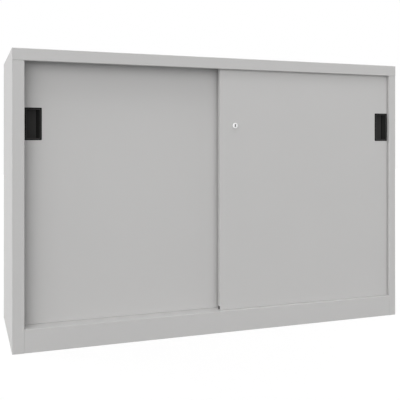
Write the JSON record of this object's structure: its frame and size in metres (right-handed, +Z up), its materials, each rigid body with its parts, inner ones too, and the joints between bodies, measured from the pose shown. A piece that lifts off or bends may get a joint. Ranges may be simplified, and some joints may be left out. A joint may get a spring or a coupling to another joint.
{
  "type": "sliding door cabinet",
  "caption": "Low folded-steel cabinet with two overlapping sliding doors, recessed flush pulls, a round cam lock, shelves and a plinth front.",
  "frame": {"origin": "on the floor, under the middle of the cabinet's box", "axes": "+X to the right along the width, +Y from the doors to the back, +Z up"},
  "size_m": [1.5, 0.45, 1],
  "materials": {
    "body_paint": "satin light grey powder coat",
    "zinc_steel": "zinc plated",
    "pull_black": "moulded, finely textured",
    "channel_black": "extruded, smooth",
    "lock_chrome": "polished",
    "nylon_white": "moulded",
    "rubber_black": "matt"
  },
  "bodies": {
    "cabinet": {"left_side_panel": "body_paint", "right_side_panel": "body_paint", "top_panel": "body_paint", "back_panel": "body_paint", "base_panel": "body_paint", "base_rear_rail": "body_paint", "lower_shelf": "body_paint", "upper_shelf": "body_paint", "levelling_foot_front_left": "zinc_steel", "levelling_foot_rear_left": "zinc_steel", "levelling_foot_front_right": "zinc_steel", "levelling_foot_rear_right": "zinc_steel", "front_top_track": "zinc_steel", "rear_top_track": "zinc_steel", "front_track_stop": "rubber_black", "rear_track_stop": "rubber_black", "front_bottom_guide": "nylon_white", "rear_bottom_guide": "nylon_white", "front_door_buffer": "rubber_black", "rear_door_buffer": "rubber_black", "shelf_upright_front_left": "zinc_steel", "shelf_upright_rear_left": "zinc_steel", "shelf_upright_front_right": "zinc_steel", "shelf_upright_rear_right": "zinc_steel", "lower_shelf_clip_front_left": "zinc_steel", "lower_shelf_clip_rear_left": "zinc_steel", "lower_shelf_clip_front_right": "zinc_steel", "lower_shelf_clip_rear_right": "zinc_steel", "upper_shelf_clip_front_left": "zinc_steel", "upper_shelf_clip_rear_left": "zinc_steel", "upper_shelf_clip_front_right": "zinc_steel", "upper_shelf_clip_rear_right": "zinc_steel"},
    "front_door": {"front_door_panel": "body_paint", "front_door_foot_channel": "channel_black", "front_door_stiffener": "body_paint", "front_door_pull": "pull_black", "front_door_hanger_left": "zinc_steel", "front_door_hanger_right": "zinc_steel", "front_door_axle_left": "zinc_steel", "front_door_axle_right": "zinc_steel", "lock_housing": "lock_chrome", "lock_nut": "zinc_steel"},
    "rear_door": {"rear_door_panel": "body_paint", "rear_door_foot_channel": "channel_black", "rear_door_stiffener": "body_paint", "rear_door_pull": "pull_black", "rear_door_hanger_left": "zinc_steel", "rear_door_hanger_right": "zinc_steel", "rear_door_axle_left": "zinc_steel", "rear_door_axle_right": "zinc_steel", "lock_keeper": "zinc_steel"},
    "lock": {"lock_plug": "lock_chrome", "lock_cam": "zinc_steel", "lock_cam_screw": "zinc_steel"},
    "front_roller_left": {"front_door_roller_left": "nylon_white"},
    "front_roller_right": {"front_door_roller_right": "nylon_white"},
    "rear_roller_left": {"rear_door_roller_left": "nylon_white"},
    "rear_roller_right": {"rear_door_roller_right": "nylon_white"}
  },
  "joints": [
    {"name": "front_door_slide", "type": "slide", "parent": "cabinet", "child": "front_door", "axis": [1, 0, 0], "range_m": [-0.64, 0]},
    {"name": "rear_door_slide", "type": "slide", "parent": "cabinet", "child": "rear_door", "axis": [1, 0, 0], "range_m": [0, 0.64]},
    {"name": "lock_turn", "type": "hinge", "parent": "front_door", "child": "lock", "pos_m": [0.048, -0.2, 0.754], "axis": [0, -1, 0], "range_deg": [0, 90]},
    {"name": "front_roller_left_turn", "type": "hinge", "parent": "front_door", "child": "front_roller_left", "pos_m": [0.09, -0.2045, 0.9865], "axis": [0, 1, 0], "range_deg": [-4590, 0]},
    {"name": "front_roller_right_turn", "type": "hinge", "parent": "front_door", "child": "front_roller_right", "pos_m": [0.64, -0.2045, 0.9865], "axis": [0, 1, 0], "range_deg": [-4590, 0]},
    {"name": "rear_roller_left_turn", "type": "hinge", "parent": "rear_door", "child": "rear_roller_left", "pos_m": [-0.64, -0.1665, 0.9865], "axis": [0, 1, 0], "range_deg": [0, 4590]},
    {"name": "rear_roller_right_turn", "type": "hinge", "parent": "rear_door", "child": "rear_roller_right", "pos_m": [-0.09, -0.1665, 0.9865], "axis": [0, 1, 0], "range_deg": [0, 4590]}
  ],
  "couplings": [
    {"joint": "front_roller_left_turn", "follows": "front_door_slide", "rad_per_m": 125},
    {"joint": "front_roller_right_turn", "follows": "front_door_slide", "rad_per_m": 125},
    {"joint": "rear_roller_left_turn", "follows": "rear_door_slide", "rad_per_m": 125},
    {"joint": "rear_roller_right_turn", "follows": "rear_door_slide", "rad_per_m": 125}
  ]
}
